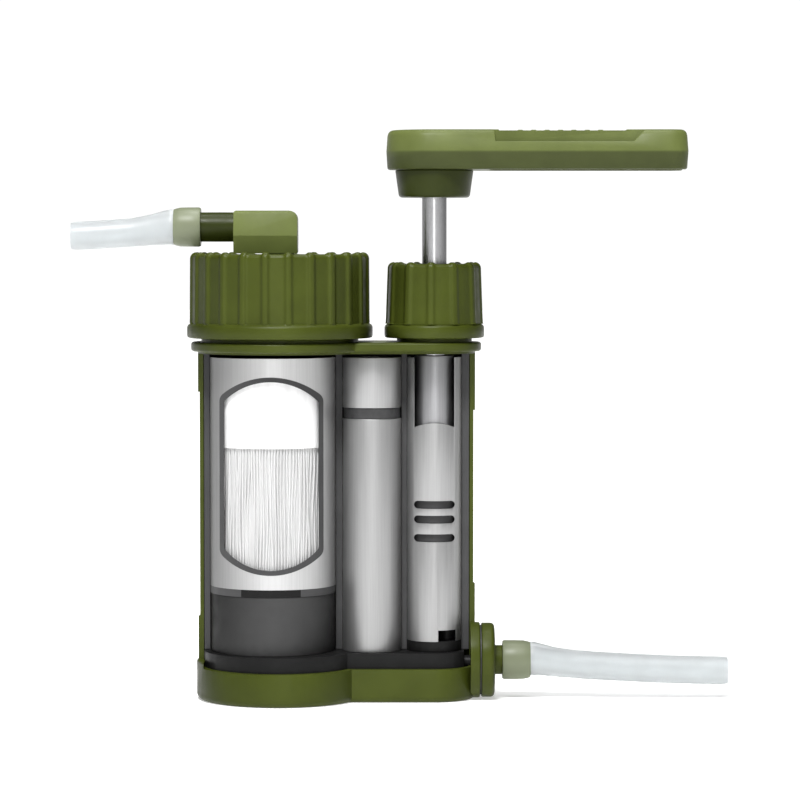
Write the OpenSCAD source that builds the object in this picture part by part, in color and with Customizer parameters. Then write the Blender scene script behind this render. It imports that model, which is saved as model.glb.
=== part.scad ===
// Hand pump water filter, shown sectioned: the front half of the housing wall is cut away.
// Origin: centre of the filter cylinder on the base's underside. X runs along the body towards
// the outlet, Y to the back, Z up. All sizes are in millimetres.

/* [Body] */
// distance from the filter axis to the pump axis
pump_x = 46.4; // [40:0.1:55]
// outer radius of the filter end of the housing
filter_end_r = 24.7; // [20:0.1:30]
// outer radius of the pump end of the housing
pump_end_r = 12.3; // [10:0.1:16]
// thickness of the housing wall
wall = 1.6; // [1:0.1:3]
// height of the base cap
base_h = 11.8; // [8:0.1:16]
// height of the deck's underside
deck_z = 104.8; // [90:0.1:120]
// thickness of the deck
deck_h = 2.8; // [2:0.1:5]
// depth of the recessed grip band
grip_depth = 0.5; // [0.2:0.1:0.8]

/* [Filter] */
// radius of the filter canister
canister_r = 18.85; // [15:0.05:20]
// distance of the canister's axis from the filter axis
canister_x = -2.2; // [-4:0.1:0]
// height of the canister's lower end
canister_z = 34.4; // [25:0.1:40]
// height of the tops of the canister and the tubes
tubes_top = 103; // [95:0.5:104]
// half width of the canister's window
window_w = 15.5; // [10:0.1:16]
// height where the loose fibres end and the potting resin starts
potting_z = 76.3; // [60:0.1:90]

/* [Pump] */
// outer radius of the pump sleeve
sleeve_r = 8.15; // [7:0.05:9]
// radius of the liner's bore
liner_bore_r = 6.5; // [5:0.05:7]
// radius of the plunger
plunger_r = 5.95; // [4:0.05:6.2]
// radius of the steel piston rod
rod_r = 3.7; // [2.5:0.05:4.5]
// height of the piston head's underside, with the handle half way up
piston_z = 41.5; // [35:0.5:45]

/* [Caps] */
// radius of the filter cap's rim
filter_cap_r = 27.9; // [25:0.1:30]
// height of the filter cap's top
filter_cap_top = 133.8; // [125:0.1:140]
// number of ribs on the filter cap
filter_cap_ribs = 24; // [12:1:36]
// radius of the pump cap's rim
pump_cap_r = 15; // [13:0.1:17]
// height of the pump cap's top
pump_cap_top = 131; // [125:0.1:135]
// number of ribs on the pump cap
pump_cap_ribs = 12; // [6:1:18]

/* [Handle] */
// height of the handle's underside
handle_z = 159.1; // [150:0.1:180]
// height of the handle's top face
handle_top = 170.9; // [165:0.1:190]
// half width of the handle, and the radius of its round end
handle_r = 14.4; // [12:0.1:18]
// how far the handle's square end is from the filter axis
handle_end = 121.9; // [100:0.1:140]

/* [Hoses] */
// height of the intake nozzle's axis
intake_z = 142; // [138:0.1:144]
// height of the outlet nozzle's axis
outlet_z = 11.5; // [11.5:0.1:14]
// radius of the hose cuffs
cuff_r = 5.9; // [5:0.1:7]
// radius of the hoses
hose_r = 4.2; // [3:0.1:6]

/* [Hidden] */
$fn = 64;
eps = 0.01;                                // makes a cut run clear through a face
cavity_1 = filter_end_r - wall;            // radii of the space inside the housing
cavity_2 = pump_end_r - wall;
fit = 0.15;                                // gap round the parts that drop into the housing
section_top = deck_z - 0.6;                // top edge of the sectioned front
deck_top = deck_z + deck_h;
cap_gap = 1.2;                             // gap under the caps, above the deck
cap_rim_top = 113;                         // top of the plain rim on both caps
cap_edge_r = 1.2;
filter_skirt = [26.5, 26.4];               // the skirt's radius, low and high
filter_rib = [1.3, 0.6, 97.5];             // rib's radius, how far it stands out, first angle
pump_skirt = [14.1, 13.6];
pump_rib = [1.2, 0.3, 85];
filter_neck_r = 23.6;
filter_neck_bore = 21.3;
filter_neck_top = 124;
liner_top = 127;                           // top of the seal under the filter cap
pump_neck_r = 11.3;
pump_neck_bore = 8.4;
pump_neck_top = 117;
rim = [-22.6, 10];                         // the base cap's lower front rim: X, height
gasket_z = 3.2;                            // top of the base cap's floor
manifold_z = 3.7;                          // underside of the manifold
manifold_top = 14.6;
carbon_top = 32.2;
tube_x = 27.65;                            // axis of the middle tubes
tube_r = 8.85;
tube_gap = [84.6, 87.9];                   // the dark joint between the two middle tubes
valve_top = 17.8;
chamber_top = valve_top + 2;
inlet_x = 43;                              // the two check valves
outlet_x = 50.15;
ball_r = 1.5;
seat_r = 1.1;
chamber_r = 1.8;
ball_rest = sqrt(ball_r * ball_r - seat_r * seat_r) + 0.02;
liner_r = 7.25;
piston_top = piston_z + 6.5;
plunger_top = 103.5;
gland_z = 124;                             // underside of the rod's guide
gland_top = 128;
hub_low = 150.8;
hub_top = 159;
spigot_r = 5.25;                           // the pivot that the handle turns on
spigot_top = 166.6;
ledge_x = [64.4, 105.4];                   // the ledges along the handle's sides
ledge_y = 10.9;
ledge_z = 167.3;
pad_top = 170.6;
pocket_top = 168.3;                        // roof of the hollow under the handle
boss_x = [57.3, 60.2, 60.6, 64.6, 67, 75.4]; // faces along the outlet
boss_r = 11.4;
barb_r = 3.5;
nozzle_r = 4.4;
socket_r = 5.2;                            // the nozzle's root, inside the outlet's discs
bore_r = 2.3;
pipe_r = 2.05;                             // short pipe from the manifold to the outlet
pipe_bore = 1.3;
pipe_z = 10.85;
duct = [46.6, 0.9, 11.4];                  // from the cylinder to the valves: X, radius, Z
drain = [53.4, 0.8, 16.2];                 // from the outlet valve down to the pipe
intake_x = [-31.8, -23.7, -13.7, 5.4];     // faces along the elbow
spout_low = 134.1;
spout_top = 146.9;
spout_belly = 139.1;                       // height where the elbow's block is widest
spout_w = [5, 6.4, 4.9, 3.9];              // half widths at base, belly, shoulder and top
spout_shoulder = 145.9;
spout_corner = 2.6;
stem_r = 4.3;
stem_low = 121.6;
clip_groove = [122.6, 123.6];
ring_groove = [125, 126.1];
groove_r = [3.6, 3.35];                    // radii at the bottoms of the two grooves
base_screws = [[-14, -13], [-14, 13], [40, -6.6], [40, 6.6]];
screw_r = 1.25;
screw_head_r = 2.6;
window_z = [38.7, 97.5];                   // lower and upper ends of the canister's window
window_corner = 3;
bezel_w = 1.4;
fibre_z = 37.4;                            // lower end of the fibres
potting_top = 100;
tube_bore = 7.5;
plunger_window_z = 83.4;                   // where the opening at the plunger begins
slot_z = [48.9, 54.5, 58.9];               // the three slots in the pump sleeve
slot = [9.8, 2.4];
head_r = 6.2;                              // the piston head and its two seals
head_groove_z = [1.2, 3.9];
wiper_r = 6;
wiper_z = 129.4;
rod_low = 98;
rod_top = 157;
screw_core_r = 2;                          // the handle's pivot screw
plug_r = 8;
plug_z = 168.9;
pocket_x = 63;                             // where the handle's hollow begins
pocket_w = 9.3;
notch_w = 6.6;

// Routes of the two hoses: points on the centre line, and the radius there.
intake_route = [[-31.8, 142], [-34, 141.8], [-38, 141.2], [-44, 140.4], [-50, 140], [-56, 139.6],
                [-62.6, 139.3]];
intake_radii = [5.4, 5.1, 4.6, 4.25, hose_r, hose_r, hose_r];
outlet_route = [[75.4, 11.9], [78, 11.6], [82, 10.9], [88, 10.2], [96, 9.6], [104, 9.2],
                [112, 8.8], [120, 8.5], [128, 8.3], [135, 8.2]];
outlet_radii = [5.2, 4.8, 4.45, 4.25, hose_r, hose_r, hose_r, hose_r, hose_r, hose_r];

green = [0.33, 0.38, 0.19];
light_green = [0.44, 0.50, 0.27];
dark_grey = [0.27, 0.27, 0.28];
black = [0.12, 0.12, 0.12];
steel = [0.78, 0.79, 0.8];
white = [0.95, 0.95, 0.94];
hose_grey = [0.82, 0.86, 0.86];

// ---- shared shapes ----

// Plan of the body: a large circle and a small one, joined by a straight slab.
module plan(r1, r2) {
  circle(r1);
  translate([0, -r2]) square([pump_x, 2 * r2]);
  translate([pump_x, 0]) circle(r2);
}

module slab(r1, r2, z0, z1) {
  translate([0, 0, z0]) linear_extrude(z1 - z0) plan(r1, r2);
}

// Half of a section, from the axis out to r, with both outer corners rounded.
module rounded_half(r, h, low_r, top_r) {
  square([r - low_r, h]);
  translate([0, low_r]) square([r, h - low_r - top_r]);
  translate([0, h / 2]) square([r - top_r, h / 2]);
  translate([r - low_r, low_r]) circle(low_r);
  translate([r - top_r, h - top_r]) circle(top_r);
}

// The body's plan raised to a solid with rounded lower and upper edges.
module rounded_slab(r1, r2, z0, z1, low_r, top_r) {
  h = z1 - z0;
  translate([0, 0, z0]) rotate_extrude() rounded_half(r1, h, low_r, top_r);
  translate([pump_x, 0, z0]) rotate_extrude() rounded_half(r2, h, low_r, top_r);
  translate([0, 0, z0]) rotate([90, 0, 90]) linear_extrude(pump_x) {
    rounded_half(r2, h, low_r, top_r);
    mirror([1, 0]) rounded_half(r2, h, low_r, top_r);
  }
}

module rod(x, r, z0, z1) {
  translate([x, 0, z0]) cylinder(h = z1 - z0, r = r);
}

module ring(x, r, bore, z0, z1) {
  difference() {
    rod(x, r, z0, z1);
    rod(x, bore, z0 - 1, z1 + 1);
  }
}

// A cylinder along X, from x0 to x1, at height z.
module shaft(x0, x1, r, z) {
  translate([x0, 0, z]) rotate([0, 90, 0]) cylinder(h = x1 - x0, r = r);
}

// A shape drawn in X and Z, extruded from y0 to y1.
module side_cut(y0, y1) {
  translate([0, y1, 0]) rotate([90, 0, 0]) linear_extrude(y1 - y0) children();
}

// The canister window's outline: straight sides, with a shallow arc at each end. The corners
// between them are rounded by corner_r.
module window_outline(half_w, low, high, corner_r) {
  sagitta = 6.1;
  arc_r = (half_w * half_w + sagitta * sagitta) / (2 * sagitta);
  inset_w = half_w - corner_r;
  reach = sqrt(pow(arc_r - corner_r, 2) - inset_w * inset_w);
  touch = inset_w * arc_r / (arc_r - corner_r) - 0.02;
  sides = [low + arc_r - reach, high - arc_r + reach];
  translate([-half_w, sides[0]]) square([2 * half_w, sides[1] - sides[0]]);
  for (x = [-inset_w, inset_w], z = sides) translate([x, z]) circle(corner_r);
  for (z = [low + arc_r, high - arc_r])
    intersection() {
      translate([0, z]) circle(arc_r, $fn = 128);
      translate([-touch, low]) square([2 * touch, high - low]);
    }
}

// A solid hose along a route in the X-Z plane: one ring of points at each route point.
module hose(route, radii) {
  sides = 24;
  last = len(route) - 1;
  towards = sign(route[last][0] - route[0][0]);
  heading = [for (i = [0 : last])
    let (a = route[max(i - 1, 0)], b = route[min(i + 1, last)])
      towards * (b - a) / norm(b - a)];
  rings = [for (i = [0 : last]) for (k = [0 : sides - 1])
    let (t = 360 * k / sides, up = radii[i] * cos(t), across = radii[i] * sin(t))
      i == 0 || i == last
        ? [route[i][0], across, route[i][1] + up]
        : [route[i][0] - heading[i][1] * up, across, route[i][1] + heading[i][0] * up]];
  side_faces = [for (i = [0 : last - 1]) for (k = [0 : sides - 1])
    let (n = (k + 1) % sides)
      [i * sides + k, i * sides + n, (i + 1) * sides + n, (i + 1) * sides + k]];
  first_face = [for (k = [sides - 1 : -1 : 0]) k];
  last_face = [for (k = [0 : sides - 1]) last * sides + k];
  faces = concat(side_faces, [first_face, last_face]);
  turned = [for (f = faces) [for (j = [len(f) - 1 : -1 : 0]) f[j]]];
  polyhedron(rings, towards > 0 ? turned : faces);
}

// ---- housing ----

// Band round the body where the wall is thinner; its edges slope towards each other.
module grip_band() {
  intersection() {
    difference() {
      slab(filter_end_r + 1, pump_end_r + 1, 20, 100);
      slab(filter_end_r - grip_depth, pump_end_r - grip_depth, 19, 101);
    }
    side_cut(-40, 40)
      polygon([[-26, 24.6], [60, 34.9], [60, 86.9], [-26, 92.6]]);
  }
}

// Space that the outlet's boss and its pipe take in the body's end.
module outlet_cut() {
  shaft(boss_x[0], boss_x[0] + 10, boss_r, outlet_z);
  shaft(boss_x[0] - 5, boss_x[0] + 1, pipe_r + 0.05, pipe_z);
}

module housing_shell() color(green) {
  difference() {
    union() {
      slab(filter_end_r, pump_end_r, base_h, deck_z + eps);
      rounded_slab(filter_end_r + 2, pump_end_r + 1.8, deck_z, deck_top, 0.8, 0.8);
    }
    slab(cavity_1, cavity_2, base_h - 1, deck_z);
    translate([-40, -40, 0]) cube([120, 40, section_top]);
    rod(0, filter_neck_bore, 90, 120);
    rod(pump_x, pump_neck_bore, 90, 120);
    outlet_cut();
    grip_band();
  }
  ring(0, filter_neck_r, filter_neck_bore, deck_top, filter_neck_top);
  ring(pump_x, pump_neck_r, pump_neck_bore, deck_top, pump_neck_top);
}

module base_cap() color(green)
  difference() {
    rounded_slab(filter_end_r + 0.5, pump_end_r + 0.5, 0, base_h, 2, 0.6);
    slab(cavity_1, cavity_2, gasket_z, base_h + 1);
    outlet_cut();
    translate([rim[0], -40, rim[1]]) cube([boss_x[0] - rim[0], 40, base_h]);
    for (p = base_screws) translate(p) {
      translate([0, 0, -1]) cylinder(h = 3.4, r = screw_head_r + 0.2);
      translate([0, 0, 2]) cylinder(h = 3, r = screw_r);
    }
  }

module base_screws() color(steel)
  for (p = base_screws) translate(p)
    difference() {
      union() {
        translate([0, 0, 0.7]) cylinder(h = 1.7, r = screw_head_r);
        translate([0, 0, 2.4]) cylinder(h = 6.6, r = screw_r);
      }
      translate([0, 0, 0.2]) cylinder(h = 1.3, r = 1.3, $fn = 6);
    }

module manifold_gasket() color(black)
  difference() {
    slab(cavity_1 - fit, cavity_2 - fit, gasket_z, manifold_z);
    for (p = base_screws) translate([p[0], p[1], 3]) cylinder(h = 2, r = screw_r);
  }

// Water comes down from the carbon stage, runs along to the inlet valve, and leaves the
// outlet valve through the short pipe.
module manifold() color(black)
  difference() {
    slab(cavity_1 - fit, cavity_2 - fit, manifold_z, manifold_top);
    translate([boss_x[0] - 2, -30, 0]) cube([10, 60, 20]);
    rod(canister_x, bore_r, 8, 20);
    shaft(canister_x, inlet_x, 1.6, 8);
    rod(inlet_x, seat_r, 8, 20);
    rod(tube_x, bore_r, 8, 20);
    rod(duct[0], duct[1], duct[2], 20);
    shaft(duct[0], outlet_x, duct[1], duct[2]);
    rod(outlet_x, seat_r, duct[2], 20);
    rod(drain[0], drain[1], pipe_z, 20);
    shaft(drain[0], boss_x[0], pipe_bore, pipe_z);
    shaft(boss_x[0] - 3, boss_x[0], pipe_r, pipe_z);
    for (p = base_screws) translate([p[0], p[1], 3]) cylinder(h = 6.1, r = screw_r);
  }

// The dark core behind the tubes, with a half-round pocket for each of them.
module inner_chassis() color(dark_grey)
  difference() {
    intersection() {
      slab(cavity_1 - fit, cavity_2 - fit, manifold_top, section_top);
      translate([-40, 0, 0]) cube([120, 40, 110]);
    }
    rod(canister_x, canister_r + 0.05, 10, 110);
    rod(tube_x, tube_r, 10, 110);
    rod(pump_x, sleeve_r, 10, 110);
    outlet_cut();
  }

// ---- filter ----

module carbon_cup() color([0.2, 0.2, 0.2])
  difference() {
    rod(canister_x, canister_r - 0.2, manifold_top, carbon_top);
    rod(canister_x, canister_r - 1, manifold_top + 1, carbon_top + 1);
    rod(canister_x, bore_r, manifold_top - 1, carbon_top);
  }

module carbon_block() color([0.08, 0.08, 0.08])
  ring(canister_x, canister_r - 1, 3, manifold_top + 1, carbon_top);

// The spigot shows at the front, through a notch in the plate.
module spigot_plan() {
  circle(tube_r);
  translate([-tube_r, -20]) square([2 * tube_r, 20]);
}

module divider_plate() color([0.33, 0.33, 0.33])
  difference() {
    rod(canister_x, canister_r, carbon_top, canister_z);
    translate([canister_x, 0, carbon_top - 1]) linear_extrude(5) spigot_plan();
  }

module transfer_spigot() color([0.2, 0.2, 0.2])
  difference() {
    intersection() {
      rod(canister_x, canister_r, carbon_top, canister_z);
      translate([canister_x, 0, carbon_top - 1]) linear_extrude(5) spigot_plan();
    }
    rod(canister_x, bore_r, 20, 40);
  }

module filter_canister() color(steel)
  difference() {
    ring(canister_x, canister_r, canister_r - 1, canister_z, tubes_top);
    translate([canister_x, 0, 0]) side_cut(-30, -3)
      window_outline(window_w, window_z[0], window_z[1], window_corner);
  }

module window_bezel() color(dark_grey)
  intersection() {
    ring(canister_x, canister_r, canister_r - 1, canister_z, tubes_top);
    translate([canister_x, 0, 0]) side_cut(-30, 0) difference() {
      window_outline(window_w, window_z[0], window_z[1], window_corner);
      window_outline(window_w - bezel_w, window_z[0] + bezel_w, window_z[1] - bezel_w,
                     window_corner - bezel_w);
    }
  }

module canister_top_cap() color(dark_grey)
  ring(canister_x, canister_r - 1, 4, potting_top, tubes_top);

module canister_bottom_cap() color(dark_grey)
  ring(canister_x, canister_r - 1, bore_r, canister_z, fibre_z);

module fibre_bundle() color(white) {
  strands = 44;
  strand_r = 1.2;
  translate([canister_x, 0, fibre_z]) linear_extrude(potting_z - fibre_z) {
    circle(canister_r - 2.2);
    for (k = [0 : strands - 1])
      rotate(360 * k / strands) translate([canister_r - 1.2 - strand_r, 0])
        circle(strand_r, $fn = 24);
  }
}

module fibre_potting() color(white)
  rod(canister_x, canister_r - 1.05, potting_z, potting_top);

module riser_tube() color(steel) ring(tube_x, tube_r, tube_bore, manifold_top, tube_gap[0]);

module riser_seal() color(dark_grey)
  ring(tube_x, tube_r - 0.3, tube_bore, tube_gap[0], tube_gap[1]);

module upper_tube() color(steel) ring(tube_x, tube_r, tube_bore, tube_gap[1], tubes_top);

// ---- pump cylinder and valves ----

// Openings in the front of the pump cylinder: one at the plunger and one at the outlet valve.
module cylinder_windows() {
  arch_r = 14;
  translate([pump_x, 0, 0]) side_cut(-20, 0) difference() {
    translate([-plunger_r, plunger_window_z - 1.6]) square([2 * plunger_r, 30]);
    translate([0, plunger_window_z - arch_r]) circle(arch_r);
  }
  translate([outlet_x, 0, 0]) side_cut(-20, 0)
    translate([-2.6, valve_top - 1]) square([5.2, 4.4]);
}

module pump_sleeve() color(steel)
  difference() {
    ring(pump_x, sleeve_r, liner_r, valve_top, tubes_top);
    cylinder_windows();
    for (z = slot_z)
      translate([pump_x, 0, z]) side_cut(-20, -1) {
        square(slot, center = true);
        for (s = [-1, 1]) translate([s * slot[0] / 2, 0]) circle(slot[1] / 2);
      }
  }

module pump_liner() color(black)
  difference() {
    ring(pump_x, liner_r, liner_bore_r, valve_top, tubes_top);
    cylinder_windows();
  }

// Two check valves side by side: an open cage over the inlet ball, a closed dome over the
// outlet ball.
module valve_block() color(black)
  difference() {
    union() {
      rod(pump_x, sleeve_r - 0.05, manifold_top, valve_top);
      rod(inlet_x, 2.5, valve_top - 1, chamber_top - 0.3);
      rod(outlet_x, 2.45, valve_top - 1, chamber_top + 1);
    }
    difference() {
      rod(inlet_x, chamber_r, manifold_top - 1, chamber_top);
      translate([inlet_x - 3, -0.4, valve_top + 0.7]) cube([6, 0.8, 3]);
    }
    rod(outlet_x, chamber_r, manifold_top - 1, chamber_top);
    rod(duct[0], duct[1], manifold_top - 1, 20);
    shaft(outlet_x, drain[0], drain[1], drain[2]);
    rod(drain[0], drain[1], manifold_top - 1, drain[2]);
  }

module ball(x) color(steel)
  translate([x, 0, manifold_top + ball_rest]) sphere(ball_r);

module inlet_ball() ball(inlet_x);

module outlet_ball() ball(outlet_x);

// ---- outlet ----

module outlet_pipe() color(black)
  difference() {
    shaft(boss_x[0] - 3, boss_x[0], pipe_r, pipe_z);
    shaft(boss_x[0] - 4, boss_x[0] + 1, pipe_bore, pipe_z);
  }

module outlet_disc(x0, x1, r) {
  difference() {
    shaft(x0, x1, r, outlet_z);
    shaft(x0 - 1, x1 + 1, socket_r, outlet_z);
  }
}

module outlet_boss() color(green) outlet_disc(boss_x[0], boss_x[1], boss_r);

module outlet_seal() color(black) outlet_disc(boss_x[1], boss_x[2], boss_r - 0.9);

// The screwed ring's outer edge is rounded.
module outlet_ring() color(green)
  difference() {
    translate([boss_x[2], 0, outlet_z]) rotate([0, 90, 0]) rotate_extrude()
      rounded_half(boss_r - 0.2, boss_x[3] - boss_x[2], 0.4, 1.2);
    shaft(boss_x[2] - 1, boss_x[3] + 1, socket_r, outlet_z);
  }

module outlet_nozzle() color(green)
  difference() {
    union() {
      shaft(boss_x[0], boss_x[3], socket_r, outlet_z);
      shaft(boss_x[3] - 1, boss_x[4], nozzle_r, outlet_z);
      shaft(boss_x[4] - 1, boss_x[5], barb_r, outlet_z);
    }
    shaft(boss_x[0] - 1, boss_x[5] + 1, bore_r, outlet_z);
  }

// A soft cuff: the hose's wide end, stretched over a nozzle.
module cuff(x0, x1, z) color([0.56, 0.6, 0.48])
  difference() {
    shaft(x0, x1, cuff_r, z);
    shaft(x0 - 1, x1 + 1, barb_r, z);
  }

module outlet_cuff() cuff(boss_x[4], boss_x[5], outlet_z);

module outlet_hose() color(hose_grey) hose(outlet_route, outlet_radii);

// ---- filter cap and elbow ----

// A screw cap: a rim, a slightly tapered skirt with a rounded top edge, and ribs that run
// over that edge.
module cap_shape(r, top, skirt, ribs, rib) {
  low = deck_top + cap_gap;
  foot = cap_rim_top - 1.5;
  shoulder = top - cap_edge_r;
  translate([0, 0, low]) rotate_extrude() rounded_half(r, cap_rim_top - low, 0.8, 1);
  rotate_extrude() {
    polygon([[0, foot], [skirt[0], foot], [skirt[1], shoulder],
             [skirt[1] - cap_edge_r, top], [0, top]]);
    translate([skirt[1] - cap_edge_r, shoulder]) circle(cap_edge_r);
  }
  for (k = [0 : ribs - 1])
    rotate(rib[2] + 360 * k / ribs) translate([skirt[0] + rib[1] - rib[0], 0, 0]) {
      translate([0, 0, foot]) cylinder(h = top - 0.6 - foot, r = rib[0]);
      translate([0, 0, top - 0.6]) sphere(rib[0]);
    }
}

module filter_cap() color(green)
  difference() {
    cap_shape(filter_cap_r, filter_cap_top, filter_skirt, filter_cap_ribs, filter_rib);
    rod(0, filter_neck_r + 0.6, 100, liner_top + 0.1);
    rod(0, stem_r + 0.3, 120, 140);
  }

module cap_liner() color(dark_grey)
  ring(0, filter_neck_r - 0.1, stem_r + 0.05, filter_neck_top, liner_top);

// The elbow is hollow: water comes along the nozzle and down the stem.
module elbow_spout() color(light_green) {
  width = intake_x[3] - intake_x[2];
  height = spout_top - spout_low;
  difference() {
    union() {
      intersection() {
        side_cut(-8, 8) {
          translate([intake_x[2], spout_low]) {
            square([width, height - spout_corner]);
            square([width - spout_corner, height]);
          }
          translate([intake_x[3] - spout_corner, spout_top - spout_corner])
            circle(spout_corner);
        }
        translate([-20, 0, 0]) rotate([90, 0, 90]) linear_extrude(30)
          for (s = [-1, 1])
            polygon([[0, spout_low], [s * spout_w[0], spout_low], [s * spout_w[1], spout_belly],
                     [s * spout_w[2], spout_shoulder], [s * spout_w[3], spout_top],
                     [0, spout_top]]);
      }
      shaft(intake_x[1], intake_x[2] + 1, nozzle_r, intake_z);
      shaft(intake_x[0], intake_x[1] + 1, barb_r, intake_z);
      rod(0, stem_r, stem_low, spout_low + 1);
    }
    shaft(intake_x[0] - 1, 0, bore_r, intake_z);
    rod(0, bore_r, stem_low - 1, intake_z);
    ring(0, 6, groove_r[0], clip_groove[0], clip_groove[1]);
    ring(0, 6, groove_r[1], ring_groove[0], ring_groove[1]);
  }
}

// A spring clip in the stem's lower groove, open on one side.
module stem_clip() color(steel)
  difference() {
    ring(0, 6.6, groove_r[0], clip_groove[0] + 0.05, clip_groove[1] - 0.05);
    translate([0, -2.4, 120]) cube([10, 4.8, 6]);
  }

module stem_o_ring() color(black)
  translate([0, 0, (ring_groove[0] + ring_groove[1]) / 2])
    rotate_extrude() translate([groove_r[1] + 0.49, 0]) circle(0.48);

module intake_cuff() cuff(intake_x[0], intake_x[1], intake_z);

module intake_hose() color(hose_grey) hose(intake_route, intake_radii);

// ---- pump cap, piston and rod ----

module pump_cap() color(green)
  translate([pump_x, 0, 0]) difference() {
    cap_shape(pump_cap_r, pump_cap_top, pump_skirt, pump_cap_ribs, pump_rib);
    rod(0, pump_neck_r + 0.4, 100, gland_top + 0.1);
    rod(0, rod_r + 0.6, 120, 140);
    rod(0, wiper_r, wiper_z, 140);
  }

module rod_wiper() color(black)
  ring(pump_x, wiper_r, rod_r + 0.05, wiper_z, pump_cap_top - 0.1);

module gland_bush() color(dark_grey)
  difference() {
    rod(pump_x, pump_neck_r - 0.1, pump_neck_top, gland_top);
    rod(pump_x, pump_neck_bore, pump_neck_top - 1, gland_z);
    rod(pump_x, rod_r + 0.05, 120, 130);
  }

module piston_head() color(black)
  difference() {
    rod(pump_x, head_r, piston_z, piston_top);
    for (z = head_groove_z) ring(pump_x, 8, 5.2, piston_z + z, piston_z + z + 1.4);
    rod(pump_x, screw_core_r, piston_top - 3, piston_top + 1);
  }

module piston_seals() color([0.2, 0.2, 0.2])
  for (z = head_groove_z)
    translate([pump_x, 0, piston_z + z + 0.7])
      rotate_extrude() translate([5.83, 0]) circle(0.62);

module plunger() color(steel)
  difference() {
    union() {
      rod(pump_x, plunger_r, piston_top, plunger_top);
      rod(pump_x, screw_core_r, piston_top - 3, piston_top + 1);
    }
    rod(pump_x, rod_r, rod_low, plunger_top + 1);
  }

module piston_rod() color(steel)
  difference() {
    rod(pump_x, rod_r, rod_low, rod_top);
    rod(pump_x, screw_core_r, 150, rod_top + 1);
  }

// ---- handle ----

module handle_hub() color(green)
  difference() {
    union() {
      translate([pump_x, 0, 0]) rotate_extrude()
        polygon([[0, hub_low], [10.2, hub_low], [10.7, hub_low + 0.7], [11.75, hub_top],
                 [0, hub_top]]);
      rod(pump_x, spigot_r, hub_top - 1, spigot_top);
    }
    rod(pump_x, rod_r, hub_low - 1, rod_top);
    rod(pump_x, screw_core_r, 150, 170);
  }

module handle_washer() color(steel)
  ring(pump_x, 7, screw_core_r, spigot_top, spigot_top + 0.8);

module handle_screw() color(steel)
  difference() {
    union() {
      rod(pump_x, screw_core_r, 152, spigot_top + 1);
      rod(pump_x, 3.4, spigot_top + 0.8, 168.8);
    }
    translate([pump_x, 0, 167.4]) cylinder(h = 3, r = 1.6, $fn = 6);
  }

module handle_plan() {
  corner_r = 5.5;
  translate([pump_x, 0]) circle(handle_r);
  translate([pump_x, -handle_r]) square([handle_end - corner_r - pump_x, 2 * handle_r]);
  translate([pump_x, corner_r - handle_r])
    square([handle_end - pump_x, 2 * (handle_r - corner_r)]);
  for (s = [-1, 1])
    translate([handle_end - corner_r, s * (handle_r - corner_r)]) circle(corner_r);
}

// Hollow underneath, so that it drops over the elbow and its hose when it is stowed.
module handle_shell() color(light_green)
  difference() {
    translate([0, 0, handle_z]) linear_extrude(handle_top - handle_z) handle_plan();
    for (s = [0, 1]) mirror([0, s, 0])
      side_cut(ledge_y, 20)
        polygon([[ledge_x[0], ledge_z], [ledge_x[1], ledge_z], [ledge_x[1] + 4.5, 172],
                 [ledge_x[0] - 0.6, 172]]);
    translate([ledge_x[0] + 1, -20, pad_top]) cube([ledge_x[1] - ledge_x[0] - 3, 40, 2]);
    translate([pocket_x, -pocket_w, handle_z - 1])
      cube([handle_end - 2.2 - pocket_x, 2 * pocket_w, pocket_top - handle_z + 1]);
    translate([100, -notch_w, handle_z - 1])
      cube([30, 2 * notch_w, pocket_top - handle_z + 1]);
    rod(pump_x, spigot_r + 0.05, handle_z - 1, 175);
    rod(pump_x, 7.3, spigot_top - 0.1, 175);
    rod(pump_x, plug_r, plug_z, 175);
  }

module handle_plug() color(light_green) rod(pump_x, plug_r, plug_z, handle_top);

// Raised bars that give the thumb a grip on the top of the handle.
module handle_grip_pad() color(light_green)
  for (x = [72 : 4 : 96]) translate([x - 0.8, -6, pad_top]) cube([1.6, 12, 0.35]);

housing_shell();
base_cap();
base_screws();
manifold_gasket();
manifold();
inner_chassis();
carbon_cup();
carbon_block();
divider_plate();
transfer_spigot();
filter_canister();
window_bezel();
canister_top_cap();
canister_bottom_cap();
fibre_bundle();
fibre_potting();
riser_tube();
riser_seal();
upper_tube();
pump_sleeve();
pump_liner();
valve_block();
inlet_ball();
outlet_ball();
outlet_pipe();
outlet_boss();
outlet_seal();
outlet_ring();
outlet_nozzle();
outlet_cuff();
outlet_hose();
filter_cap();
cap_liner();
elbow_spout();
stem_clip();
stem_o_ring();
intake_cuff();
intake_hose();
pump_cap();
rod_wiper();
gland_bush();
piston_head();
piston_seals();
plunger();
piston_rod();
handle_hub();
handle_washer();
handle_screw();
handle_shell();
handle_plug();
handle_grip_pad();
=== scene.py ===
"""Hand pump water filter with a sectioned housing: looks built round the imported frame, in metres."""

import math
import random

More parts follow.
